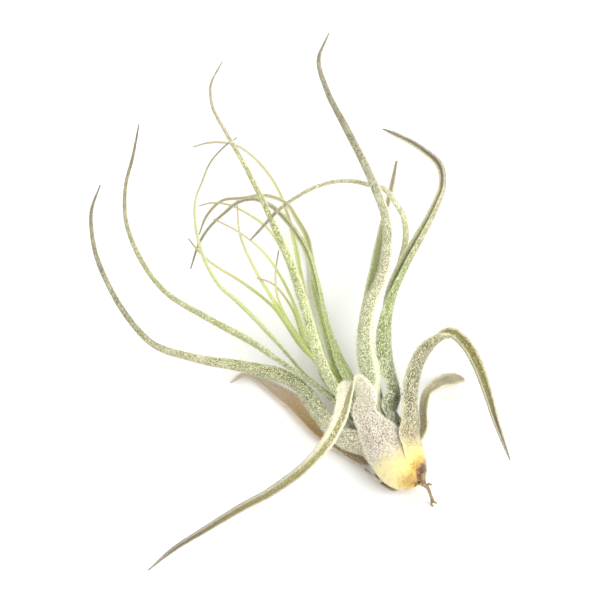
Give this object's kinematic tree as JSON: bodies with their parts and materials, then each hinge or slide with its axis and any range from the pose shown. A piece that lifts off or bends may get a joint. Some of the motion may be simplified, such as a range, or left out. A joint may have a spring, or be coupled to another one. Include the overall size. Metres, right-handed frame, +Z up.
{
  "type": "air plant",
  "caption": "Air plant as picked: a slim bulb of nested sheaths with long channelled leaves that curl and fan out, lying on its side on a surface.",
  "frame": {"origin": "middle of the flat spot under the bulb, where the plant touches the surface that it lies on", "axes": "+Z up from the surface, +Y along the fan of leaves away from the root end, +X to the right when the fan is seen from the root end"},
  "size_m": [0.1259, 0.1633, 0.0492],
  "materials": {
    "leaf_silver": "matt silvery scales over grey-green skin",
    "leaf_green": "matt, soft green skin with fine scales",
    "leaf_cream": "matt cream scales over pale green skin",
    "leaf_young": "matt bright yellow-green skin",
    "leaf_dried": "matt papery brown",
    "stem_bark": "rough dark brown",
    "root_bark": "rough tan brown"
  },
  "bodies": {
    "root": {"stem": "stem_bark", "roots": "root_bark", "heart_leaves": "leaf_young", "leaf_outer_left": "leaf_silver", "leaf_second_left": "leaf_silver", "leaf_front": "leaf_cream", "leaf_top": "leaf_silver", "leaf_right_hook": "leaf_silver", "leaf_right_arch": "leaf_silver", "leaf_short_spoon": "leaf_silver", "leaf_thin_arch": "leaf_silver", "leaf_flat_back": "leaf_green", "leaf_centre": "leaf_silver", "leaf_curl": "leaf_green", "leaf_low": "leaf_green", "leaf_back_long": "leaf_green", "leaf_left_inner": "leaf_green", "leaf_dried": "leaf_dried", "dried_scale": "leaf_dried"}
  },
  "joints": []
}
